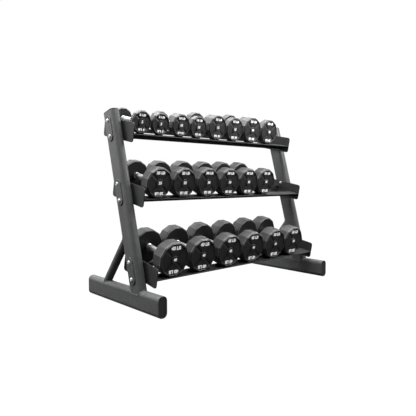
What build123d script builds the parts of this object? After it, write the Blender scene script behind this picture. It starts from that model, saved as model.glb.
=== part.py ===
# A three-tier dumbbell rack with its set of twelve-sided dumbbells.
# Sizes are in millimetres. +X runs along the rack, -Y is its front and +Z is up.
# The origin is on the floor, midway between the side frames and midway along the feet.
import os
from math import cos, radians, sin, tan

from build123d import *

# Side frames: a foot, a leaning upright and a brace, all of tube
frame_span = 1280
foot_length = 625
foot_height = 100
tube_width = 50
tube_flat = 6
tube_wall = 3
upright_depth = 95
upright_lean = 15
upright_set_back = 189
upright_top = 955
brace_diameter = 42
brace_wall = 2.5
brace_lean = 38
brace_inset = 162
weld_gap = 0.2

# Plugs and caps that close the tubes
plug_depth = 15
plug_recess = 2
plug_clearance = 0.3
cap_thickness = 5
cap_tongue_width = 22
cap_tongue_depth = 70

# Trays: two end plates joined by a front rail and a rear rail of steel angle
tier_heights = {"top": 869, "middle": 555.5, "bottom": 185}
tray_tilt = 11
plate_depth = 275
plate_height = 97
plate_thickness = 5
plate_corner = 15
surface_drop = 55
rail_width = 75
rail_gap = 100
rail_thickness = 4
front_rail_leg = 30
rear_rail_leg = 19

# Bolted joints between the trays and the uprights
bolt_square = 10
bolt_clearance = 0.5
bolt_spacing = 81
bolt_head_flats = 16
bolt_head_height = 6
bolt_plate_length = 130
bolt_plate_width = 48
bolt_plate_clip = 14
bolt_plate_thickness = 5
nut_flats = 16
nut_height = 8

# Dumbbells: for each weight in pounds, a head's size across its flats and its length
head_sizes = {
    5: (115, 26),
    10: (121, 36),
    15: (139, 42),
    20: (153, 46),
    25: (150, 56),
    30: (152, 60),
    35: (154, 64),
    40: (170, 66),
    45: (171, 70),
    50: (172, 74),
}
head_sides = 12
bevel_depth = 8
bevel_inset = 6
grip_length = 152
grip_diameter = 30
seat_gap = 0.3

# How far each row stands behind its rail's front edge, each dumbbell's gap to what is on its left,
# and the free place at a row's right end. Gaps and free place share out whatever length a tray has to spare.
row_set_back = {"top": 30, "middle": 5, "bottom": 5}
row_gaps = {
    "top": {5: (4.5, 2), 10: (17, 3), 15: (16, 3), 20: (9, 7)},
    "middle": {25: (11, 7), 30: (14, 8), 35: (4, 3)},
    "bottom": {40: (11, 13), 45: (21, 12), 50: (22, 3)},
}
row_end_gaps = {"top": 102.5, "middle": 261, "bottom": 112}

sides = {"left": -1, "right": 1}
tube_corner = (tube_width - tube_flat) / 2
plate_inner = frame_span / 2 - tube_width / 2 - plate_thickness
upright_rise = Vector(0, sin(radians(upright_lean)), cos(radians(upright_lean)))
brace_rise = Vector(0, -sin(radians(brace_lean)), cos(radians(brace_lean)))


def along_upright(height):
    """The distance up an upright's axis from the foot's mid-height to a height above the floor."""
    return (height - foot_height / 2) / cos(radians(upright_lean))


def upright_point(side, height):
    """The point on an upright's axis at a height above the floor."""
    y = upright_set_back - foot_length / 2 + (height - foot_height) * tan(radians(upright_lean))
    return Vector(side * frame_span / 2, y, height)


def foot_plane(side):
    """The middle cross-section of a foot."""
    return Plane(origin=(side * frame_span / 2, 0, foot_height / 2), x_dir=(1, 0, 0), z_dir=(0, 1, 0))


def upright_plane(side, height):
    """The cross-section of an upright where its axis is at a height."""
    return Plane(origin=upright_point(side, height), x_dir=(1, 0, 0), z_dir=upright_rise)


def bolt_plane(side, offset):
    """A plane at an offset outward from an upright's centre: x runs up its axis, z points outward."""
    origin = upright_point(side, foot_height / 2) + Vector(side * offset, 0, 0)
    return Plane(origin=origin, x_dir=upright_rise, z_dir=(side, 0, 0))


def bolt_places(tiers):
    """Where the bolts of some tiers stand in a bolt plane."""
    return [(along_upright(tier_heights[tier]) + end * bolt_spacing / 2, 0) for tier in tiers for end in (-1, 1)]


def tray_plane(tier):
    """A tray's top surface: x along the rack, y to the rear, origin at the middle of its front edge."""
    rear = Vector(0, cos(radians(tray_tilt)), sin(radians(tray_tilt)))
    up = Vector(0, -sin(radians(tray_tilt)), cos(radians(tray_tilt)))
    centre = upright_point(0, tier_heights[tier])
    front_edge = centre - rear * (plate_depth / 2) + up * (plate_height / 2 - surface_drop)
    return Plane(origin=front_edge, x_dir=(1, 0, 0), z_dir=up)


def tray_section(tier, x):
    """A tray's cross-section at x: its own x runs to the rear and its y stands square to the tray."""
    tray = tray_plane(tier)
    return Plane(origin=tray.from_local_coords((x, 0, 0)), x_dir=tray.y_dir, z_dir=(1, 0, 0))


def bolt_holes(mode=Mode.ADD):
    """The square hole that a coach bolt's neck goes through."""
    return Rectangle(bolt_square + 2 * bolt_clearance, bolt_square + 2 * bolt_clearance, mode=mode)


def oval(width, depth, inset=0, mode=Mode.ADD):
    """A flat-oval tube outline, drawn in by an inset, or out by a negative one."""
    return RectangleRounded(width - 2 * inset, depth - 2 * inset, tube_corner - inset, mode=mode)


def foot_envelope(side):
    """What a foot and its weld gap take up, to cope the tubes that stand on it."""
    with BuildPart() as envelope:
        with BuildSketch(foot_plane(side)):
            oval(tube_width, foot_height, -weld_gap)
        extrude(amount=foot_length / 2, both=True)
    return envelope.part


def upright_envelope(side):
    """What an upright and its weld gap take up, to cope the brace."""
    with BuildPart() as envelope:
        with BuildSketch(upright_plane(side, foot_height / 2)):
            oval(tube_width, upright_depth, -weld_gap)
        extrude(amount=along_upright(upright_top))
    return envelope.part


def make_foot(side):
    with BuildPart() as foot:
        with BuildSketch(foot_plane(side)):
            oval(tube_width, foot_height)
            oval(tube_width, foot_height, tube_wall, mode=Mode.SUBTRACT)
        extrude(amount=foot_length / 2, both=True)
    return foot


def make_upright(side):
    """A leaning tube, coped over the foot's round top and drilled for the tray bolts."""
    with BuildPart() as upright:
        with BuildSketch(upright_plane(side, foot_height / 2)):
            oval(tube_width, upright_depth)
            oval(tube_width, upright_depth, tube_wall, mode=Mode.SUBTRACT)
        extrude(amount=along_upright(upright_top))
        add(foot_envelope(side), mode=Mode.SUBTRACT)
        with BuildSketch(bolt_plane(side, 0)):
            with Locations(*bolt_places(tier_heights)):
                bolt_holes()
        extrude(amount=tube_width, both=True, mode=Mode.SUBTRACT)
    return upright


def make_brace(side):
    """A round tube, coped to the foot's top at one end and to the upright's back at the other."""
    foot_crossing = Vector(side * frame_span / 2, foot_length / 2 - brace_inset, foot_height)
    base_gap = foot_crossing.Y - upright_point(side, foot_height).Y
    upper_run = base_gap * cos(radians(upright_lean)) / sin(radians(upright_lean + brace_lean))
    lower_run = foot_height / 2 / cos(radians(brace_lean))
    with BuildPart() as brace:
        with BuildSketch(Plane(origin=foot_crossing - brace_rise * lower_run, x_dir=(1, 0, 0), z_dir=brace_rise)):
            Circle(brace_diameter / 2)
            Circle(brace_diameter / 2 - brace_wall, mode=Mode.SUBTRACT)
        extrude(amount=lower_run + upper_run)
        add(foot_envelope(side), mode=Mode.SUBTRACT)
        add(upright_envelope(side), mode=Mode.SUBTRACT)
    return brace


def make_foot_end_caps():
    """Plugs pressed just inside the four open ends of the feet."""
    with BuildPart() as plugs:
        for side in sides.values():
            for end in (-1, 1):
                with BuildSketch(foot_plane(side).offset(end * (foot_length / 2 - plug_recess))):
                    oval(tube_width, foot_height, tube_wall + plug_clearance)
                extrude(amount=-end * plug_depth)
    return plugs


def make_top_cap(side):
    """A flat cap on an upright's end, with a tongue that goes down into the tube."""
    with BuildPart() as cap:
        with BuildSketch(upright_plane(side, upright_top)):
            oval(tube_width, upright_depth)
        extrude(amount=cap_thickness)
        with BuildSketch(upright_plane(side, upright_top)):
            Rectangle(cap_tongue_width, cap_tongue_depth)
        extrude(amount=-plug_depth)
    return cap


def make_upright_top_caps():
    with BuildPart() as caps:
        for side in sides.values():
            add(make_top_cap(side).part)
    return caps


def make_rail(tier, outer_edge, inner_edge, leg_low, leg_high):
    """A length of angle: a flat from its outer to its inner edge, where a leg hangs down or stands up."""
    inward = 1 if inner_edge > outer_edge else -1
    with BuildPart() as rail:
        with BuildSketch(tray_section(tier, weld_gap - plate_inner)):
            with Locations(((outer_edge + inner_edge) / 2, -rail_thickness / 2)):
                Rectangle(rail_width, rail_thickness)
            with Locations((inner_edge - inward * rail_thickness / 2, (leg_low + leg_high) / 2)):
                Rectangle(rail_thickness, leg_high - leg_low)
        extrude(amount=2 * (plate_inner - weld_gap))
    return rail


def make_end_plates(tier):
    """The two plates that a tier's rails are welded between, drilled for the tray bolts."""
    with BuildPart() as plates:
        for side in sides.values():
            with BuildSketch(tray_section(tier, side * plate_inner)):
                with Locations((plate_depth / 2, surface_drop - plate_height / 2)):
                    RectangleRounded(plate_depth, plate_height, plate_corner)
            extrude(amount=side * plate_thickness)
            with BuildSketch(bolt_plane(side, -tube_width / 2)):
                with Locations(*bolt_places([tier])):
                    bolt_holes()
            extrude(amount=-plate_thickness, mode=Mode.SUBTRACT)
    return plates


def make_bolt_plates():
    """Oblong plates with clipped corners, which spread the bolts' load on the outside of the uprights."""
    with BuildPart() as plates:
        for side in sides.values():
            with BuildSketch(bolt_plane(side, tube_width / 2)) as outlines:
                with Locations(*[(along_upright(height), 0) for height in tier_heights.values()]):
                    Rectangle(bolt_plate_length, bolt_plate_width)
                chamfer(outlines.vertices(), length=bolt_plate_clip)
                with Locations(*bolt_places(tier_heights)):
                    bolt_holes(mode=Mode.SUBTRACT)
            extrude(amount=bolt_plate_thickness)
    return plates


def make_tray_bolts():
    """Coach bolts, through bolt plate, upright and end plate."""
    shank_length = bolt_plate_thickness + tube_width + plate_thickness
    with BuildPart() as bolts:
        for side in sides.values():
            seat = bolt_plane(side, tube_width / 2 + bolt_plate_thickness)
            with BuildSketch(seat):
                with Locations(*bolt_places(tier_heights)):
                    RegularPolygon(bolt_head_flats / 2, 6, major_radius=False)
            extrude(amount=bolt_head_height)
            with BuildSketch(seat):
                with Locations(*bolt_places(tier_heights)):
                    Rectangle(bolt_square, bolt_square)
            extrude(amount=-shank_length)
    return bolts


def make_tray_nuts():
    """Closed nuts, tight against the inside of the end plates."""
    with BuildPart() as nuts:
        for side in sides.values():
            with BuildSketch(bolt_plane(side, -tube_width / 2 - plate_thickness)):
                with Locations(*bolt_places(tier_heights)):
                    RegularPolygon(nut_flats / 2, 6, major_radius=False)
            extrude(amount=-nut_height)
    return nuts


def row_places(tier):
    """Each dumbbell's weight, letter and centre along a row, from the left end plate on."""
    spare = 2 * plate_inner - 2 * sum(head_sizes[pounds][0] for pounds in row_gaps[tier])
    stretch = spare / (sum(sum(gaps) for gaps in row_gaps[tier].values()) + row_end_gaps[tier])
    reach = -plate_inner
    for pounds, gaps in row_gaps[tier].items():
        across = head_sizes[pounds][0]
        for letter, gap in zip("ab", gaps):
            reach += gap * stretch + across
            yield pounds, letter, reach - across / 2


def dumbbell_plane(tier, pounds, x):
    """A dumbbell's front face as it lies on its rails, with its z along the dumbbell to the rear."""
    tray = tray_plane(tier)
    axis_height = head_sizes[pounds][0] / 2 + seat_gap
    origin = tray.from_local_coords((x, row_set_back[tier], axis_height))
    return Plane(origin=origin, x_dir=(1, 0, 0), z_dir=tray.y_dir)


def make_heads(front, pounds):
    """Two twelve-sided heads that lie on a flat, with a bevel round each outer end."""
    across, length = head_sizes[pounds]
    with BuildPart() as heads:
        for inner_face, outward in ((front.offset(length), -1), (front.offset(length + grip_length), 1)):
            with BuildSketch(inner_face):
                RegularPolygon(across / 2, head_sides, major_radius=False, rotation=180 / head_sides)
            extrude(amount=outward * length)
            ends = heads.faces(Select.LAST).sort_by(Axis((0, 0, 0), front.z_dir * outward))
            chamfer(ends[-1].edges(), length=bevel_inset, length2=bevel_depth, reference=ends[-1])
    return heads


def make_handle(front, pounds):
    """A round grip between the two heads."""
    with BuildPart() as handle:
        with BuildSketch(front.offset(head_sizes[pounds][1])):
            Circle(grip_diameter / 2)
        extrude(amount=grip_length)
    return handle


os.makedirs("parts", exist_ok=True)


def write(node, builder):
    """Labels a finished sub-part and writes its STEP file."""
    builder.part.label = node
    export_step(builder.part, f"parts/{node}.step")


for side_name, side_sign in sides.items():
    write(f"{side_name}_foot", make_foot(side_sign))
    write(f"{side_name}_upright", make_upright(side_sign))
    write(f"{side_name}_brace", make_brace(side_sign))
write("foot_end_caps", make_foot_end_caps())
write("upright_top_caps", make_upright_top_caps())

for tier_name in tier_heights:
    rear_front = rail_width + rail_gap
    rear_back = rear_front + rail_width
    write(f"{tier_name}_front_rail", make_rail(tier_name, 0, rail_width, -front_rail_leg, 0))
    write(f"{tier_name}_rear_rail", make_rail(tier_name, rear_back, rear_front, -rail_thickness, rear_rail_leg))
    write(f"{tier_name}_end_plates", make_end_plates(tier_name))
write("bolt_plates", make_bolt_plates())
write("tray_bolts", make_tray_bolts())
write("tray_nuts", make_tray_nuts())

for tier_name in tier_heights:
    for weight, pair_letter, centre_x in row_places(tier_name):
        front_face = dumbbell_plane(tier_name, weight, centre_x)
        name = f"dumbbell_{weight:02d}_{pair_letter}"
        write(f"{name}_heads", make_heads(front_face, weight))
        write(f"{name}_handle", make_handle(front_face, weight))
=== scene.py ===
# Looks for the dumbbell rack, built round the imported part.
import math

import bmesh
import bpy
from mathutils import Matrix, Vector


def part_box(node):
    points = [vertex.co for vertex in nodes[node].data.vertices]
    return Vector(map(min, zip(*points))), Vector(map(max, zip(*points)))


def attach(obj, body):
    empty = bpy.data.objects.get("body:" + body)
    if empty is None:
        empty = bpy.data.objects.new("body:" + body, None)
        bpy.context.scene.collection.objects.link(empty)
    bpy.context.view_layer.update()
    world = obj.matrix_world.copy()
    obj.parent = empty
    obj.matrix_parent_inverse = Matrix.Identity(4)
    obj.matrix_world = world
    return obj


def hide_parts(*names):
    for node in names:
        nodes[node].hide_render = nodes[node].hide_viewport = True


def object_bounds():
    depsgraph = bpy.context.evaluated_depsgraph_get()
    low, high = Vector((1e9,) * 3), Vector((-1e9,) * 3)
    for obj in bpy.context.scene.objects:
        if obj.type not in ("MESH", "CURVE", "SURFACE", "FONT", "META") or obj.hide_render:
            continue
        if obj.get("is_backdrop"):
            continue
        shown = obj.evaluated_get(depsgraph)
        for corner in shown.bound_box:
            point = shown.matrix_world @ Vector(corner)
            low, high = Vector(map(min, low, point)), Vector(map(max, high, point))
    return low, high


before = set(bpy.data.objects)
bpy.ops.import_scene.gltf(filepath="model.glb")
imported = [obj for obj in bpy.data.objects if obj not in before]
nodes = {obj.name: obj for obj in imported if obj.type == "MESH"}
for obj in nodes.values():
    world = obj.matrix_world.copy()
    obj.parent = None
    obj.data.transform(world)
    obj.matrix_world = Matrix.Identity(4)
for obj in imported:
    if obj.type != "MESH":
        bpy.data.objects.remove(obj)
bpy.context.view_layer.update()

# Sizes repeated from the part's source, in metres and radians

MM = 0.001
TRAY_TILT = math.radians(11)
UPRIGHT_LEAN = math.radians(15)
BRACE_LEAN = math.radians(38)
HALF_SPAN = 0.640
FOOT_HEIGHT = 0.100
FOOT_LENGTH = 0.625
UPRIGHT_SET_BACK = 0.189
UPRIGHT_DEPTH = 0.095
TUBE_HALF = 0.025
TUBE_CORNER = 0.022
BRACE_RADIUS = 0.021
BRACE_INSET = 0.162
PLATE_THICKNESS = 0.005
HALF_BOLT_SPACING = 0.0405
GRIP_LENGTH = 0.152
TIERS = {"top": 0.869, "middle": 0.5555, "bottom": 0.185}
# Each weight in pounds, with its heads' width across the flats and their length, in millimetres
HEADS = {
    5: (115, 26), 10: (121, 36), 15: (139, 42), 20: (153, 46), 25: (150, 56),
    30: (152, 60), 35: (154, 64), 40: (170, 66), 45: (171, 70), 50: (172, 74),
}


# Materials

# The sockets of a node that mixes two colours
MIX_FACTOR, MIX_FIRST, MIX_SECOND, MIX_RESULT = 0, 6, 7, 2
# Pointiness, 0.5 on a flat face: where an edge begins to show and is full, and a hollow is full and ends
EDGE = {"start": 0.515, "end": 0.60}
HOLLOW = {"start": 0.42, "end": 0.49}
# The knurl: its ridges round the grip, its radians per metre along it, and its ends, from the grip's middle
KNURL_RIDGES = 30.0
KNURL_PITCH = 2100.0
KNURL_END = {"start": 0.047, "end": 0.049}


class Nodes:
    """A small helper that adds nodes to a node tree and links them."""

    def __init__(self, tree):
        self.tree = tree
        self.shader = tree.nodes.get("Principled BSDF")
        self.coordinates = self.add("ShaderNodeTexCoord")

    def add(self, kind, **inputs):
        node = self.tree.nodes.new(kind)
        for name, value in inputs.items():
            self.plug(value, node.inputs[name.replace("_", " ")])
        return node

    def plug(self, value, socket):
        """Links a socket to another one, or sets its value."""
        if isinstance(value, bpy.types.NodeSocket):
            self.tree.links.new(value, socket)
        else:
            socket.default_value = value

    def set_input(self, name, value):
        """Links or sets an input of the material's shader."""
        self.plug(value, self.shader.inputs[name])

    def place(self, kind="Object"):
        return self.coordinates.outputs[kind]

    def pointiness(self):
        return self.add("ShaderNodeNewGeometry").outputs["Pointiness"]

    def camera_ray(self):
        return self.add("ShaderNodeLightPath").outputs["Is Camera Ray"]

    def noise(self, scale, detail, roughness=0.5, stretch=None):
        place = self.place()
        if stretch:
            place = self.add("ShaderNodeMapping", Vector=place, Scale=stretch).outputs["Vector"]
        node = self.add("ShaderNodeTexNoise", Vector=place, Scale=scale, Detail=detail, Roughness=roughness)
        return node.outputs["Fac"]

    def ramp(self, value, low, high, start=0.3, end=0.7):
        """Low up to the start, high from the end on. Most of a noise lies between 0.3 and 0.7."""
        limits = {"From_Min": start, "From_Max": end, "To_Min": low, "To_Max": high}
        return self.add("ShaderNodeMapRange", Value=value, **limits).outputs["Result"]

    def cloud(self, scale, detail):
        """A noise spread over the whole range from 0 to 1."""
        return self.ramp(self.noise(scale, detail), low=0.0, high=1.0)

    def blend(self, factor, first, second):
        node = self.add("ShaderNodeMix")
        node.data_type = "RGBA"
        self.plug(factor, node.inputs[MIX_FACTOR])
        self.plug(first, node.inputs[MIX_FIRST])
        self.plug(second, node.inputs[MIX_SECOND])
        return node.outputs[MIX_RESULT]

    def math(self, operation, first, second=0.0):
        node = self.add("ShaderNodeMath")
        node.operation = operation
        self.plug(first, node.inputs[0])
        self.plug(second, node.inputs[1])
        return node.outputs[0]

    def bump(self, height, strength, distance):
        node = self.add("ShaderNodeBump", Height=height, Strength=strength, Distance=distance)
        self.set_input("Normal", node.outputs["Normal"])


def new_material(name):
    material = bpy.data.materials.new(name)
    material.use_nodes = True
    return material, Nodes(material.node_tree)


def grey(value, warm=0.0):
    return (value * (1 + warm), value, value * (1 - warm), 1)


def powder_coat(name, tone, rough):
    """Satin powder coat: a faint orange peel, small specks and paler, slightly rubbed edges."""
    material, n = new_material(name)
    cloud = n.cloud(scale=7.0, detail=4.0)
    colour = n.blend(cloud, grey(tone * 0.9, warm=-0.015), grey(tone * 1.12, warm=-0.015))
    speck = n.ramp(n.noise(scale=1400.0, detail=1.0), low=0.0, high=0.5, start=0.62, end=0.8)
    colour = n.blend(speck, colour, grey(tone * 1.7, warm=-0.01))
    edge = n.ramp(n.pointiness(), low=0.0, high=0.5, **EDGE)
    wear = n.ramp(n.noise(scale=60.0, detail=5.0), low=0.2, high=1.0, start=0.4, end=0.65)
    colour = n.blend(n.math("MULTIPLY", edge, wear), colour, grey(tone * 2.6))
    n.set_input("Base Color", colour)
    n.set_input("Roughness", n.ramp(n.noise(scale=30.0, detail=4.0), low=rough - 0.05, high=rough + 0.07))
    n.set_input("Specular IOR Level", 0.38)
    n.bump(n.noise(scale=850.0, detail=2.0), strength=0.10, distance=0.0004)
    return material


def urethane(name, tone):
    """Matt moulded urethane: a fine grain, faint clouds and scuffs, a painted highlight on the edges and
    painted shade in the hollows.
    """
    material, n = new_material(name)
    colour = n.blend(n.cloud(scale=22.0, detail=5.0), grey(tone * 0.8), grey(tone * 1.3))
    streaks = n.noise(scale=45.0, detail=6.0, roughness=0.6, stretch=(1.0, 0.25, 1.0))
    scuff = n.ramp(streaks, low=0.0, high=0.35, start=0.60, end=0.78)
    colour = n.blend(scuff, colour, grey(tone * 1.9, warm=0.02))
    point = n.pointiness()
    # Painted highlight: the edges are made paler
    edge = n.ramp(point, low=0.0, high=0.6, **EDGE)
    colour = n.blend(edge, colour, grey(tone * 2.6, warm=0.01))
    # Painted shade: the hollows are made darker, and rougher
    hollow = n.ramp(point, low=0.9, high=0.0, **HOLLOW)
    n.set_input("Base Color", n.blend(hollow, colour, grey(tone * 0.12)))
    rough = n.ramp(n.noise(scale=35.0, detail=4.0), low=0.40, high=0.52)
    n.set_input("Roughness", n.math("ADD", rough, n.math("MULTIPLY", hollow, 0.4)))
    n.bump(n.noise(scale=1100.0, detail=3.0), strength=0.12, distance=0.0003)
    return material


def moulded_plastic(name, tone):
    """Black moulded plastic with a spark-eroded grain."""
    material, n = new_material(name)
    n.set_input("Base Color", n.blend(n.cloud(scale=40.0, detail=4.0), grey(tone * 0.8), grey(tone * 1.3)))
    n.set_input("Roughness", n.ramp(n.noise(scale=90.0, detail=3.0), low=0.45, high=0.62))
    n.bump(n.noise(scale=700.0, detail=4.0), strength=0.2, distance=0.0003)
    return material


def zinc_plate(name):
    """Bright zinc: pale blue-grey with a slight mottle."""
    dull = (0.55, 0.56, 0.58, 1)
    bright = (0.72, 0.73, 0.74, 1)
    material, n = new_material(name)
    n.set_input("Base Color", n.blend(n.cloud(scale=180.0, detail=4.0), dull, bright))
    n.set_input("Metallic", 0.55)
    n.set_input("Roughness", n.ramp(n.noise(scale=260.0, detail=3.0), low=0.46, high=0.60))
    n.bump(n.noise(scale=900.0, detail=2.0), strength=0.08, distance=0.0002)
    return material


def chrome(name):
    """Hard chrome, smooth at the collars and cut with a diamond knurl along the grip."""
    dull = (0.86, 0.87, 0.88, 1)
    bright = (0.94, 0.95, 0.96, 1)
    knurled = (0.60, 0.61, 0.62, 1)
    shaded = (0.36, 0.36, 0.37, 1)
    material, n = new_material(name)
    level = n.add("ShaderNodeVectorRotate", Vector=n.place(), Angle=-TRAY_TILT)
    level.rotation_type = "X_AXIS"
    split = n.add("ShaderNodeSeparateXYZ", Vector=level.outputs["Vector"])
    along = split.outputs["Y"]
    turn = n.math("ARCTAN2", split.outputs["X"], split.outputs["Z"])
    around = n.math("MULTIPLY", turn, KNURL_RIDGES)
    advance = n.math("MULTIPLY", along, KNURL_PITCH)
    first = n.math("SINE", n.math("ADD", around, advance))
    second = n.math("SINE", n.math("SUBTRACT", around, advance))
    knurl = n.math("MAXIMUM", first, second)
    band = n.ramp(n.math("ABSOLUTE", along), low=1.0, high=0.0, **KNURL_END)
    valley = n.math("MULTIPLY", n.ramp(knurl, low=1.0, high=0.0, start=-0.6, end=0.5), band)
    colour = n.blend(n.cloud(scale=120.0, detail=4.0), dull, bright)
    colour = n.blend(n.math("MULTIPLY", band, 0.75), colour, knurled)
    n.set_input("Base Color", n.blend(n.math("MULTIPLY", valley, 0.4), colour, shaded))
    n.set_input("Metallic", 0.75)
    rough = n.ramp(n.noise(scale=300.0, detail=3.0), low=0.25, high=0.33)
    n.set_input("Roughness", n.math("ADD", rough, n.math("MULTIPLY", band, 0.35)))
    n.bump(n.math("MULTIPLY", knurl, band), strength=0.5, distance=0.0006)
    return material


def marking_paint(name):
    """White marking ink, slightly worn through in specks, with a faint painted glow."""
    fresh = (0.92, 0.92, 0.91, 1)
    worn = (0.60, 0.60, 0.60, 1)
    material, n = new_material(name)
    speck = n.ramp(n.noise(scale=500.0, detail=4.0), low=0.0, high=0.5, start=0.62, end=0.75)
    colour = n.blend(speck, fresh, worn)
    n.set_input("Base Color", colour)
    # Painted light: the ink glows faintly
    n.set_input("Emission Color", colour)
    n.set_input("Emission Strength", 0.35)
    n.set_input("Roughness", n.ramp(n.noise(scale=200.0, detail=3.0), low=0.4, high=0.6))
    return material


FRAME_PAINT = powder_coat("frame_paint", tone=0.062, rough=0.46)
TRAY_PAINT = powder_coat("tray_paint", tone=0.024, rough=0.46)
CAP_PLASTIC = moulded_plastic("cap_plastic", tone=0.022)
ZINC = zinc_plate("zinc_plate")
URETHANE = urethane("urethane", tone=0.0305)
# Painted shade: a near-black copy of the urethane for the moat, the grooves and the inner faces
URETHANE_SHADE = urethane("urethane_shade", tone=0.006)
# Painted shade: a darker copy of the urethane for the sunk field of each outer face
URETHANE_FIELD_SHADE = urethane("urethane_field_shade", tone=0.018)
# Painted highlight: a pale copy of the urethane for the heads' outer edge and inner bevel
URETHANE_HIGHLIGHT = urethane("urethane_highlight", tone=0.15)
CHROME = chrome("chrome")
WHITE = marking_paint("marking_paint")


# Mesh helpers

NORMAL_WEIGHT = 90


def make_piece(name, mesh, material, body, matrix=None):
    """Adds a mesh to the scene as a piece of the object. The material is for a mesh that has none yet."""
    piece = bpy.data.objects.new(name, mesh)
    bpy.context.scene.collection.objects.link(piece)
    if not mesh.materials:
        mesh.materials.append(material)
    if matrix is not None:
        piece.matrix_world = matrix
    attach(piece, body)
    return piece


def finish_mesh(bm, name, smooth=True):
    bmesh.ops.recalc_face_normals(bm, faces=bm.faces)
    mesh = bpy.data.meshes.new(name)
    for face in bm.faces:
        face.smooth = smooth
    bm.to_mesh(mesh)
    bm.free()
    return mesh


def weigh_normals(piece):
    """Lets the large faces rule the shading, so that rounded edges stay narrow."""
    modifier = piece.modifiers.new("normals", "WEIGHTED_NORMAL")
    modifier.weight = NORMAL_WEIGHT
    modifier.keep_sharp = True


def add_rings(bm, rings, matrix, capped=True):
    """Skins a list of closed rings of points, with a fan over each end where it is capped."""
    made = [[bm.verts.new(matrix @ p) for p in ring] for ring in rings]
    count = len(rings[0])
    pairs = [(i, (i + 1) % count) for i in range(count)]
    strips = []
    for low, high in zip(made, made[1:]):
        strips.append([bm.faces.new((low[i], low[j], high[j], high[i])) for i, j in pairs])
    if capped:
        for ring in (made[0], made[-1]):
            centre = bm.verts.new(sum((v.co for v in ring), Vector()) / count)
            for i, j in pairs:
                bm.faces.new((ring[i], ring[j], centre))
    return strips


def polygon_reach(angle, apothem, sides, turn):
    """How far a regular polygon reaches at an angle, where a flat faces the angle called turn."""
    step = 2 * math.pi / sides
    off = (angle - turn + step / 2) % step - step / 2
    return apothem / math.cos(off)


def full_turn(count):
    return [2 * math.pi * i / count for i in range(count)]


def circle(radius, y, count):
    """Points of a circle about the local y axis."""
    return [Vector((radius * math.cos(t), y, radius * math.sin(t))) for t in full_turn(count)]


def hexagon(apothem, y, roundness, count):
    """Points of a hexagon about the local y axis. Roundness runs from 0, six-sided, to 1, a circle."""
    ring = []
    for t in full_turn(count):
        flat = polygon_reach(t, apothem, sides=6, turn=0.0)
        r = flat + (apothem - flat) * roundness
        ring.append(Vector((r * math.cos(t), y, r * math.sin(t))))
    return ring


def lathe(bm, profile, matrix, count):
    """Turns a profile of radius and y, in millimetres, about the local y axis."""
    add_rings(bm, [circle(r * MM, y * MM, count) for r, y in profile], matrix)


# Dumbbells, made in a frame with x along the rack, y to the rear and z up, and then tipped as the trays are

TIP = Matrix.Rotation(TRAY_TILT, 4, "X")

# A head's sides, the turn from one to the next in degrees, half of it, and a ring's points for each side.
# A corner's rounding reaches this far to each side of it, and takes this much off its tip.
HEAD_SIDES = 12
SIDE_TURN = 30
HALF_TURN = 15
SIDE_POINTS = 4
CORNER_ROUND = 1.1 * MM
CORNER_EASE = 0.14 * MM

# A head's outer face, in millimetres: the boss in its middle, the sunk field round it and the rim
BOSS_RADIUS = 20
BOSS_DEPTH = 0.5
FIELD_DEPTH = 3.0
MOAT_DEPTH = FIELD_DEPTH + 1.0
RIM_WIDTH = 11.2
# The corners with a groove, in degrees, its half width and depth, and the groove's faces in a strip
GROOVES = (45, 135, 225, 315)
GROOVE_HALF = 4.4
GROOVE_DEPTH = 4.0
GROOVE_FACES = {(corner - HALF_TURN) // SIDE_TURN * SIDE_POINTS + i for corner in GROOVES for i in (0, 1)}

# The strips between a head's rings, counted from the middle of its outer face, and its materials
MOAT = slice(4, 7)
FIELD = slice(7, 12)
GROOVED = slice(7, 13)
OUTER_EDGE = slice(20, 22)
INNER_BEVEL = slice(25, 28)
INNER_FACE = slice(28, None)
HEAD_MATERIALS = (URETHANE, URETHANE_SHADE, URETHANE_HIGHLIGHT, URETHANE_FIELD_SHADE)

# The marks, in millimetres: the number on the boss, and how far every mark stands out
NUMBER_HEIGHT = 12.5
NUMBER_BOLD = 0.9
NUMBER_RAISED = 2.0
MARK_THICKNESS = 0.5
MARK_PROUD = 0.1
# The weight above and below, as shares of a head's half width: it is taller from 40 pounds on.
# Its margin at the rim is in millimetres.
WEIGHT_HEIGHT = 0.165
HEAVY_HEIGHT = 0.185
HEAVY_FROM = 40
WEIGHT_HALF_WIDTH = 0.34
WEIGHT_BOLD = 0.015
WEIGHT_PLACE = 0.69
WEIGHT_MARGIN = 1.5
# The height of a figure as a share of the font's size
FIGURE_SHARE = 0.69

# Half of a handle: its radius at each distance from the head, in millimetres
COLLAR = [(10, -0.4), (17.2, -0.4), (18, 0.4), (18, 6.4), (17.2, 7.6), (15.2, 8.8)]
NECK = [(14.6, 10.0), (14.6, 20.2), (14.2, 20.6), (14.2, 21.6)]
KNURLED = [(14.8, 22.0), (15.1, 40.0), (15.3, 60.0)]
HANDLE_POINTS = 40


def head_ring(reach, y, roundness, groove, depth):
    """One ring of a head: 12 corners of three points each, and a point on each flat.
    Roundness runs from 0, twelve-sided, to 1, a circle. A groove is the half width of the four cuts."""
    ring = []
    for k in range(HEAD_SIDES):
        corner = HALF_TURN + SIDE_TURN * k
        on_groove = groove > 0 and corner in GROOVES
        half = groove if on_groove else CORNER_ROUND
        wide = math.degrees(math.asin(half / reach))
        for off in (-wide, 0.0, wide):
            angle = math.radians(corner + off)
            flat = polygon_reach(angle, reach, HEAD_SIDES, math.pi / 2)
            if off == 0.0:
                flat -= CORNER_EASE * (1 - roundness)
            r = flat + (reach - flat) * roundness
            sunk = depth if on_groove and off == 0.0 else 0.0
            ring.append(Vector((r * math.cos(angle), y + sunk, r * math.sin(angle))))
        angle = math.radians(corner + HALF_TURN)
        ring.append(Vector((reach * math.cos(angle), y, reach * math.sin(angle))))
    return ring


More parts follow.
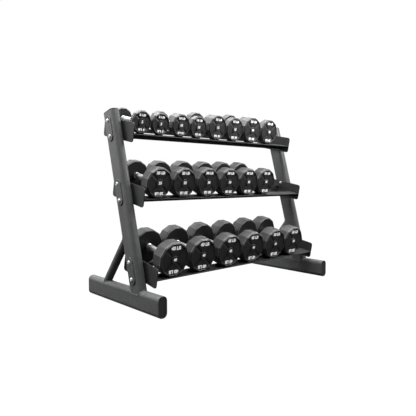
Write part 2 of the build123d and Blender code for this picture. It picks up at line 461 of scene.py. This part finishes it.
def head_rings(across, length):
    """A head from the middle of its outer face, over its rim, bevel and barrel, to its inner face.
    Each row is a ring: radius, place along the head, roundness, and a groove's half width and depth."""
    a = across / 2
    start, stop = BOSS_RADIUS + 6.0, a - 12.8
    boss = [
        (6.0, BOSS_DEPTH), (BOSS_RADIUS - 2.2, BOSS_DEPTH), (BOSS_RADIUS - 1.2, 0.55),
        (BOSS_RADIUS - 0.4, 1.1), (BOSS_RADIUS, 2.0),
    ]
    moat = [(BOSS_RADIUS + 0.4, MOAT_DEPTH), (BOSS_RADIUS + 3.2, MOAT_DEPTH)]
    rim = [(a - 10.6, FIELD_DEPTH - 0.3), (a - 9.8, 0.5), (a - 9.2, 0.05), (a - 8.6, 0.0), (a - 7.0, 0.0)]
    outer_bevel = [(a - 6.3, 0.12), (a - 5.75, 0.5), (a - 0.7, 7.1), (a - 0.25, 7.8)]
    barrel = [(a, 8.9), (a, length - 4.6)]
    inner_bevel = [
        (a - 0.2, length - 3.9), (a - 0.6, length - 3.3), (a - 3.2, length - 0.6), (a - 3.9, length - 0.15),
    ]
    inner_face = [(a - 4.7, length), (a - 9.0, length)]
    seat = [
        (30.0, length), (28.5, length), (27.5, length - 1.0), (22.5, length - 1.0), (10.0, length - 1.0),
    ]

    rows = [(r, y, 1, 0, 0) for r, y in boss + moat]
    rows.append((BOSS_RADIUS + 4.0, FIELD_DEPTH + 0.1, 1, 0.6, 0.2))
    for share in (0, 0.33, 0.67, 1):
        rows.append((start + (stop - start) * share, FIELD_DEPTH, 1 - share, GROOVE_HALF, GROOVE_DEPTH))
    rows.append((a - RIM_WIDTH, FIELD_DEPTH, 0, GROOVE_HALF * 0.6, GROOVE_DEPTH * 0.3))
    rows += [(r, y, 0, 0, 0) for r, y in rim + outer_bevel + barrel + inner_bevel + inner_face]
    rows += [(r, y, 1, 0, 0) for r, y in seat]
    return [head_ring(r * MM, y * MM, n, g * MM, d * MM) for r, y, n, g, d in rows]


def paint(strips, material, wanted=None):
    """Gives the faces of some strips, or the wanted ones of each strip, one of the heads' materials."""
    index = HEAD_MATERIALS.index(material)
    for strip in strips:
        for i, face in enumerate(strip):
            if wanted is None or i in wanted:
                face.material_index = index


def heads_mesh(pounds):
    """Both heads of a dumbbell, the rear one turned round."""
    across, length = HEADS[pounds]
    rings = head_rings(across, length)
    bm = bmesh.new()
    for turned in (False, True):
        place = Matrix.Translation((0, -(GRIP_LENGTH / 2 + length * MM), 0))
        if turned:
            place = Matrix.Rotation(math.pi, 4, "Z") @ place
        strips = add_rings(bm, rings, TIP @ place)
        # Painted shade on the moat, the grooves and the inner face
        paint(strips[MOAT], URETHANE_SHADE)
        # Painted shade on the sunk field
        paint(strips[FIELD], URETHANE_FIELD_SHADE)
        paint(strips[GROOVED], URETHANE_SHADE, GROOVE_FACES)
        # Painted highlight on the outer edge and the inner bevel
        paint(strips[OUTER_EDGE] + strips[INNER_BEVEL], URETHANE_HIGHLIGHT)
        paint(strips[INNER_FACE], URETHANE_SHADE)
    mesh = finish_mesh(bm, f"heads_{pounds:02d}")
    for material in HEAD_MATERIALS:
        mesh.materials.append(material)
    return mesh


def text_mesh(words, height, bold):
    """Plain figures as a mesh in the x-z plane, facing -y, centred on the origin."""
    curve = bpy.data.curves.new("words", "FONT")
    curve.body = words
    curve.align_x = "CENTER"
    curve.align_y = "CENTER"
    curve.size = height / FIGURE_SHARE
    curve.offset = bold
    curve.extrude = MARK_THICKNESS * MM / 2
    curve.resolution_u = 4
    holder = bpy.data.objects.new("words", curve)
    bpy.context.scene.collection.objects.link(holder)
    bpy.context.view_layer.update()
    mesh = bpy.data.meshes.new_from_object(holder.evaluated_get(bpy.context.evaluated_depsgraph_get()))
    bpy.data.objects.remove(holder)
    low = [min(v.co[i] for v in mesh.vertices) for i in (0, 1)]
    high = [max(v.co[i] for v in mesh.vertices) for i in (0, 1)]
    shift = Matrix.Translation((-(low[0] + high[0]) / 2, -(low[1] + high[1]) / 2, 0))
    mesh.transform(Matrix.Rotation(math.pi / 2, 4, "X") @ shift)
    return mesh


def add_mesh(bm, mesh, matrix):
    mesh = mesh.copy()
    mesh.transform(matrix)
    bm.from_mesh(mesh)


def marks_mesh(pounds):
    """The marks on both outer faces: a number on the boss, and the weight above and, inverted, below."""
    across, length = HEADS[pounds]
    a = across / 2 * MM
    front = -(GRIP_LENGTH / 2 + length * MM)
    number = text_mesh(str(pounds), NUMBER_HEIGHT * MM, NUMBER_BOLD * MM)
    tall = (HEAVY_HEIGHT if pounds >= HEAVY_FROM else WEIGHT_HEIGHT) * a
    wide = WEIGHT_HALF_WIDTH * a
    weight = text_mesh(f"{pounds} LB", tall, WEIGHT_BOLD * a)
    reach = max(v.co.x for v in weight.vertices)
    weight.transform(Matrix.Diagonal((wide / reach, 1, 1, 1)))
    # The upper corners of the weight stay clear of the rim's sloping sides
    slope = math.radians(SIDE_TURN)
    corner = (a - RIM_WIDTH * MM - wide * math.sin(slope)) / math.cos(slope)
    above = min(WEIGHT_PLACE * a, corner - tall / 2 - WEIGHT_MARGIN * MM)
    on_boss = Matrix.Translation((0, front + (BOSS_DEPTH - MARK_PROUD) * MM, NUMBER_RAISED * MM))
    on_field = Matrix.Translation((0, front + (FIELD_DEPTH - MARK_PROUD) * MM, 0))
    bm = bmesh.new()
    for turned in (0.0, math.pi):
        end = TIP @ Matrix.Rotation(turned, 4, "Z")
        add_mesh(bm, number, end @ on_boss)
        for inverted in (0.0, math.pi):
            spin = end @ on_field @ Matrix.Rotation(inverted, 4, "Y")
            add_mesh(bm, weight, spin @ Matrix.Translation((0, 0, above)))
    return finish_mesh(bm, f"marks_{pounds:02d}", smooth=False)


def handle_mesh():
    """A grip with a slight swell, a turned collar at each head, and a groove at each end of the knurl."""
    half = GRIP_LENGTH / 2 / MM
    profile = [(r, half - inward) for r, inward in COLLAR + NECK + KNURLED]
    profile += [(r, -y) for r, y in reversed(profile)]
    bm = bmesh.new()
    lathe(bm, profile, TIP, HANDLE_POINTS)
    return finish_mesh(bm, "handle")


handle = handle_mesh()
for pounds in HEADS:
    heads, marks = heads_mesh(pounds), marks_mesh(pounds)
    for letter in "ab":
        body = f"dumbbell_{pounds:02d}_{letter}"
        low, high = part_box(f"{body}_handle")
        place = Matrix.Translation((low + high) / 2)
        piece = make_piece(f"heads_{pounds:02d}_{letter}", heads, URETHANE, body, place)
        weigh_normals(piece)
        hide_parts(f"{body}_heads")
        piece = make_piece(f"grip_{pounds:02d}_{letter}", handle, CHROME, body, place)
        weigh_normals(piece)
        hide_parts(f"{body}_handle")
        make_piece(f"figures_{pounds:02d}_{letter}", marks, WHITE, body, place)


# Rack: each piece is a copy of its solid with its edges rounded

# Points this near are joined, faces this flat are made one, and edges sharper than this are rounded
SAME_POINT = 0.00002
FLAT_ANGLE = math.radians(0.5)
SHARP_ANGLE = math.radians(28)
# How far an edge's rounding reaches
TUBE_EDGE = 0.6 * MM
BRACE_EDGE = 0.4 * MM
RAIL_EDGE = 1.0 * MM
PLATE_EDGE = 0.8 * MM
CAP_EDGE = 2.0 * MM
CAP_SEGMENTS = 3


def refine(node, name, material, width, segments=2):
    """Replaces a node with a copy of its mesh, whose sharp edges are rounded."""
    bm = bmesh.new()
    bm.from_mesh(nodes[node].data)
    bmesh.ops.remove_doubles(bm, verts=bm.verts, dist=SAME_POINT)
    bmesh.ops.dissolve_limit(bm, angle_limit=FLAT_ANGLE, verts=bm.verts, edges=bm.edges)
    edges = [e for e in bm.edges if len(e.link_faces) == 2 and e.calc_face_angle() > SHARP_ANGLE]
    bmesh.ops.bevel(
        bm, geom=edges, offset=width, segments=segments, profile=0.5, affect="EDGES", clamp_overlap=True,
    )
    piece = make_piece(name, finish_mesh(bm, name), material, "rack")
    weigh_normals(piece)
    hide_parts(node)


for side in ("left", "right"):
    refine(f"{side}_foot", f"{side}_foot_tube", FRAME_PAINT, TUBE_EDGE)
    refine(f"{side}_upright", f"{side}_upright_tube", FRAME_PAINT, TUBE_EDGE)
    refine(f"{side}_brace", f"{side}_brace_tube", FRAME_PAINT, BRACE_EDGE)
for tier in TIERS:
    refine(f"{tier}_front_rail", f"{tier}_front_angle", TRAY_PAINT, RAIL_EDGE)
    refine(f"{tier}_rear_rail", f"{tier}_rear_angle", TRAY_PAINT, RAIL_EDGE)
    refine(f"{tier}_end_plates", f"{tier}_side_plates", TRAY_PAINT, PLATE_EDGE)
refine("foot_end_caps", "foot_plugs", CAP_PLASTIC, CAP_EDGE, CAP_SEGMENTS)
refine("upright_top_caps", "top_covers", CAP_PLASTIC, CAP_EDGE, CAP_SEGMENTS)


# Bolts and nuts

# Along an upright, and square to it towards the rear
RISE = Vector((0, math.sin(UPRIGHT_LEAN), math.cos(UPRIGHT_LEAN)))
BACK = Vector((0, math.cos(UPRIGHT_LEAN), -math.sin(UPRIGHT_LEAN)))

# Profiles in millimetres: radius and height of the washer and the dome, apothem and height of the socket
WASHER = [(4, 0.05), (10.4, 0.05), (10.8, 0.5), (10.8, 1.2), (10.4, 1.6), (4, 1.6)]
DOME = [(8.8, 1.5), (9.1, 2.0), (8.9, 2.8), (8.0, 4.1), (6.6, 5.1), (5.2, 5.6), (3.9, 5.75)]
SOCKET = [(3.0, 5.6), (2.8, 2.6), (1.0, 2.4)]
BOLT_POINTS = 24
# The nut's apothem, height and roundness
NUT = [
    (7.6, 0.1, 0.6), (8.0, 0.7, 0.0), (8.0, 4.6, 0.0), (7.5, 5.4, 0.75),
    (6.6, 5.7, 1.0), (6.2, 6.6, 1.0), (4.8, 7.5, 1.0), (2.5, 7.9, 1.0),
]
NUT_POINTS = 36
# The oblong plate's height and how far its edge is drawn in, the radius of its ends and half their distance
SPREADER = [(0.05, 0.3), (0.05, 0.0), (3.6, 0.0), (4.4, 0.25), (4.85, 0.8), (4.95, 1.6), (4.95, 6.0)]
SPREADER_RADIUS = 24
SPREADER_REACH = 41
SPREADER_STEPS = 16


def upright_y(height):
    """Where the middle of an upright is at a height."""
    return UPRIGHT_SET_BACK - FOOT_LENGTH / 2 + (height - FOOT_HEIGHT) * math.tan(UPRIGHT_LEAN)


def outward(side):
    """Turns y to point out of the rack at one of its sides."""
    return Matrix.Rotation(-side * math.pi / 2, 4, "Z")


def bolt_matrices(out):
    """A frame at each bolt, at a distance out from the upright's middle, with its y pointing outward."""
    for side in (-1, 1):
        for height in TIERS.values():
            for end in (-1, 1):
                point = Vector((side * (HALF_SPAN + out), upright_y(height), height))
                yield Matrix.Translation(point + RISE * (end * HALF_BOLT_SPACING)) @ outward(side)


def bolt_head(bm, matrix):
    """A domed head with a hexagon socket, on a thin washer."""
    lathe(bm, WASHER, matrix, BOLT_POINTS)
    rings = [circle(r * MM, y * MM, BOLT_POINTS) for r, y in DOME]
    rings += [hexagon(apothem * MM, y * MM, 0.0, BOLT_POINTS) for apothem, y in SOCKET]
    add_rings(bm, rings, matrix)


def nut(bm, matrix):
    """A hexagon nut with a turned chamfer, closed by a low dome."""
    rings = [hexagon(apothem * MM, y * MM, roundness, NUT_POINTS) for apothem, y, roundness in NUT]
    add_rings(bm, rings, matrix)


def spreader(bm, matrix):
    """An oblong plate with round ends, its edges eased, standing on the upright's side."""
    rings = []
    for y, inset in SPREADER:
        radius = (SPREADER_RADIUS - inset) * MM
        ring = []
        for end in (1, -1):
            for i in range(SPREADER_STEPS + 1):
                t = math.pi * i / SPREADER_STEPS
                up = SPREADER_REACH * MM + radius * math.sin(t)
                ring.append(Vector((end * radius * math.cos(t), y * MM, end * up)))
        rings.append(ring)
    add_rings(bm, rings, matrix)


bm = bmesh.new()
for side in (-1, 1):
    for height in TIERS.values():
        place = Matrix.Translation((side * (HALF_SPAN + TUBE_HALF), upright_y(height), height))
        spreader(bm, place @ Matrix.Rotation(-UPRIGHT_LEAN, 4, "X") @ outward(side))
mesh = finish_mesh(bm, "spreader_plates")
piece = make_piece("spreader_plates", mesh, FRAME_PAINT, "rack")
weigh_normals(piece)
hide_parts("bolt_plates")

bm = bmesh.new()
for matrix in bolt_matrices(TUBE_HALF + PLATE_THICKNESS):
    bolt_head(bm, matrix)
piece = make_piece("bolt_heads", finish_mesh(bm, "bolt_heads"), ZINC, "rack")
weigh_normals(piece)
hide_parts("tray_bolts")

bm = bmesh.new()
for matrix in bolt_matrices(-TUBE_HALF - PLATE_THICKNESS):
    nut(bm, matrix @ Matrix.Rotation(math.pi, 4, "Z"))
piece = make_piece("bolt_nuts", finish_mesh(bm, "bolt_nuts"), ZINC, "rack")
weigh_normals(piece)
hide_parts("tray_nuts")


# Weld beads

BEAD_RADIUS = 2.6 * MM
BEAD_POINTS = 8
# Each wave of a bead's ripple: its share of the radius, and its radians for each point of the path
RIPPLES = ((0.10, 2.1), (0.05, 0.37))
# A bead's last ring lies on its first, and points this near are joined
BEAD_JOIN = 1e-7
# Steps round a corner of a tube, the step along its straight sides, and points round a brace
CORNER_STEPS = 10
PATH_STEP = 2.5 * MM
BRACE_POINTS = 52


def bead(bm, path):
    """A rippled bead along a closed path."""
    turns = full_turn(BEAD_POINTS)
    rings = []
    for i, p in enumerate(path):
        along = path[(i + 1) % len(path)] - path[i - 1]
        along.normalize()
        side = along.cross(Vector((0, 0, 1)))
        side.normalize()
        up = side.cross(along)
        swell = BEAD_RADIUS * (1 + sum(share * math.sin(i * rate) for share, rate in RIPPLES))
        rings.append([p + side * (swell * math.cos(t)) + up * (swell * math.sin(t)) for t in turns])
    rings.append(rings[0])
    add_rings(bm, rings, Matrix.Identity(4), capped=False)
    bmesh.ops.remove_doubles(bm, verts=bm.verts, dist=BEAD_JOIN)


def oval_edge(u, depth):
    """How far a flat-oval tube of a depth reaches at a distance u across it."""
    flat = TUBE_HALF - TUBE_CORNER
    over = max(0.0, abs(u) - flat)
    return depth / 2 - TUBE_CORNER + math.sqrt(max(0.0, TUBE_CORNER ** 2 - over ** 2))


def foot_top(u):
    """The height of a foot's upper side at a distance u from its middle line."""
    return FOOT_HEIGHT / 2 + oval_edge(u, FOOT_HEIGHT)


def oval_outline(depth):
    """Points about evenly round a flat-oval outline, as (across, along its depth)."""
    flat, straight = TUBE_HALF - TUBE_CORNER, depth - 2 * TUBE_CORNER
    corners = [
        (flat, straight / 2, 0), (-flat, straight / 2, 90),
        (-flat, -straight / 2, 180), (flat, -straight / 2, 270),
    ]
    outline = []
    for x, y, start in corners:
        for i in range(CORNER_STEPS + 1):
            t = math.radians(start + 90 * i / CORNER_STEPS)
            outline.append((x + TUBE_CORNER * math.cos(t), y + TUBE_CORNER * math.sin(t)))
    dense = []
    for (x0, y0), (x1, y1) in zip(outline, outline[1:] + outline[:1]):
        steps = max(1, round(math.hypot(x1 - x0, y1 - y0) / PATH_STEP))
        dense += [(x0 + (x1 - x0) * i / steps, y0 + (y1 - y0) * i / steps) for i in range(steps)]
    return dense


def frame_welds(side):
    """Where the upright stands on the foot, and where the brace meets the foot and the upright."""
    x = side * HALF_SPAN
    base = Vector((x, UPRIGHT_SET_BACK - FOOT_LENGTH / 2, FOOT_HEIGHT))
    stand = []
    for u, v in oval_outline(UPRIGHT_DEPTH):
        start = base + Vector((u, 0, 0)) + BACK * v
        stand.append(start + RISE * ((foot_top(u) - start.z) / RISE.z))
    brace = Vector((0, -math.sin(BRACE_LEAN), math.cos(BRACE_LEAN)))
    square = Vector((0, math.cos(BRACE_LEAN), math.sin(BRACE_LEAN)))
    crossing = Vector((x, FOOT_LENGTH / 2 - BRACE_INSET, FOOT_HEIGHT))
    lower, upper = [], []
    for t in full_turn(BRACE_POINTS):
        across = Vector((BRACE_RADIUS * math.cos(t), 0, 0))
        start = crossing + across + square * (BRACE_RADIUS * math.sin(t))
        u = start.x - x
        lower.append(start + brace * ((foot_top(u) - start.z) / brace.z))
        behind = (start - base).dot(BACK)
        upper.append(start + brace * ((oval_edge(u, UPRIGHT_DEPTH) - behind) / brace.dot(BACK)))
    return stand, lower, upper


for name, side in (("left", -1), ("right", 1)):
    bm = bmesh.new()
    for path in frame_welds(side):
        bead(bm, path)
    mesh = finish_mesh(bm, f"{name}_frame_welds")
    make_piece(f"{name}_frame_welds", mesh, FRAME_PAINT, "rack")


# Floor, light and camera

# Half the floor's width, and how bright it is in the picture
FLOOR_REACH = 40
FLOOR_SEEN = 0.97
PURE_WHITE = (1, 1, 1, 1)
# Each panel of the surroundings: its direction, the cosines where it starts and is full, its strength
PANELS = [
    ((-0.6, 0.75, 0.3), 0.3, 1.0, 1.35),
    ((0.95, -0.25, 0.2), 0.3, 1.0, 1.15),
    ((0.66, 0.62, 0.43), 0.86, 0.985, 0.9),
]
# Each softbox: its place, its target, its size and its power
SOFTBOXES = {
    "top_softbox": ((-0.4, 0.3, 4.2), (0, 0, 0.5), (4.0, 2.8), 480),
    "left_softbox": ((-1.6, 0.7, 1.3), (-0.64, -0.05, 0.75), (0.5, 0.5), 27),
    "front_softbox": ((0.9, -0.75, 1.5), (0.45, -0.05, 0.93), (0.35, 0.35), 19),
    "key_softbox": ((-0.1, -1.7, 2.6), (-0.1, -0.1, 0.6), (1.0, 0.6), 17),
    "back_softbox": ((0.0, 2.0, 2.4), (0, 0, 0.4), (2.4, 1.2), 22),
}
# Its mirror image would burn out the upper facets of the heads, seen from the rack's right end
NOT_MIRRORED = "left_softbox"
# The camera as fitted to the photograph: millimetres, shares of the picture, metres and degrees
SENSOR_WIDTH = 36
LENS = 39.05
LENS_SHIFT = (-0.0012, -0.024)
EYE_PLACE = (-1.8409, -1.8955, 0.6224)
EYE_PITCH = 87.51
EYE_YAW = -43.04


def floor_material():
    """A pale floor that looks nearly shadowless, and throws little light back up at the object."""
    material, n = new_material("floor")
    n.set_input("Base Color", n.blend(n.cloud(scale=3.0, detail=3.0), grey(0.024), grey(0.028)))
    n.set_input("Roughness", 0.9)
    n.set_input("Specular IOR Level", 0.1)
    n.set_input("Emission Color", PURE_WHITE)
    n.set_input("Emission Strength", n.math("MULTIPLY", n.camera_ray(), FLOOR_SEEN))
    return material


bm = bmesh.new()
bmesh.ops.create_grid(bm, x_segments=1, y_segments=1, size=FLOOR_REACH)
floor_mesh = bpy.data.meshes.new("floor")
bm.to_mesh(floor_mesh)
bm.free()
floor_mesh.materials.append(floor_material())
floor = bpy.data.objects.new("floor", floor_mesh)
bpy.context.scene.collection.objects.link(floor)
floor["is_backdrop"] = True

world = bpy.data.worlds.new("studio")
bpy.context.scene.world = world
world.use_nodes = True
studio = Nodes(world.node_tree)
sky = world.node_tree.nodes["Background"]
sky.inputs["Color"].default_value = PURE_WHITE
# The camera sees plain white, and everything else sees the panels
glow = 0.0
for direction, start, end, strength in PANELS:
    facing = studio.add("ShaderNodeVectorMath")
    facing.operation = "DOT_PRODUCT"
    studio.plug(studio.place("Generated"), facing.inputs[0])
    studio.plug(Vector(direction).normalized(), facing.inputs[1])
    panel = studio.ramp(facing.outputs["Value"], low=0.0, high=strength, start=start, end=end)
    glow = studio.math("ADD", panel, glow)
studio.plug(studio.math("MAXIMUM", studio.camera_ray(), glow), sky.inputs["Strength"])

for name, (place, target, size, power) in SOFTBOXES.items():
    light = bpy.data.lights.new(name, "AREA")
    light.shape = "RECTANGLE"
    light.size, light.size_y = size
    light.energy = power
    lamp = bpy.data.objects.new(name, light)
    lamp.location = place
    lamp.visible_camera = False
    lamp.visible_glossy = name != NOT_MIRRORED
    lamp.rotation_euler = (Vector(target) - Vector(place)).to_track_quat("-Z", "Y").to_euler()
    bpy.context.scene.collection.objects.link(lamp)

camera = bpy.data.cameras.new("camera")
camera.sensor_width = SENSOR_WIDTH
camera.lens = LENS
camera.shift_x, camera.shift_y = LENS_SHIFT
eye = bpy.data.objects.new("camera", camera)
eye.location = EYE_PLACE
eye.rotation_euler = (math.radians(EYE_PITCH), 0, math.radians(EYE_YAW))
bpy.context.scene.collection.objects.link(eye)
bpy.context.scene.camera = eye
bpy.context.scene.view_settings.view_transform = "Standard"

low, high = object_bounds()
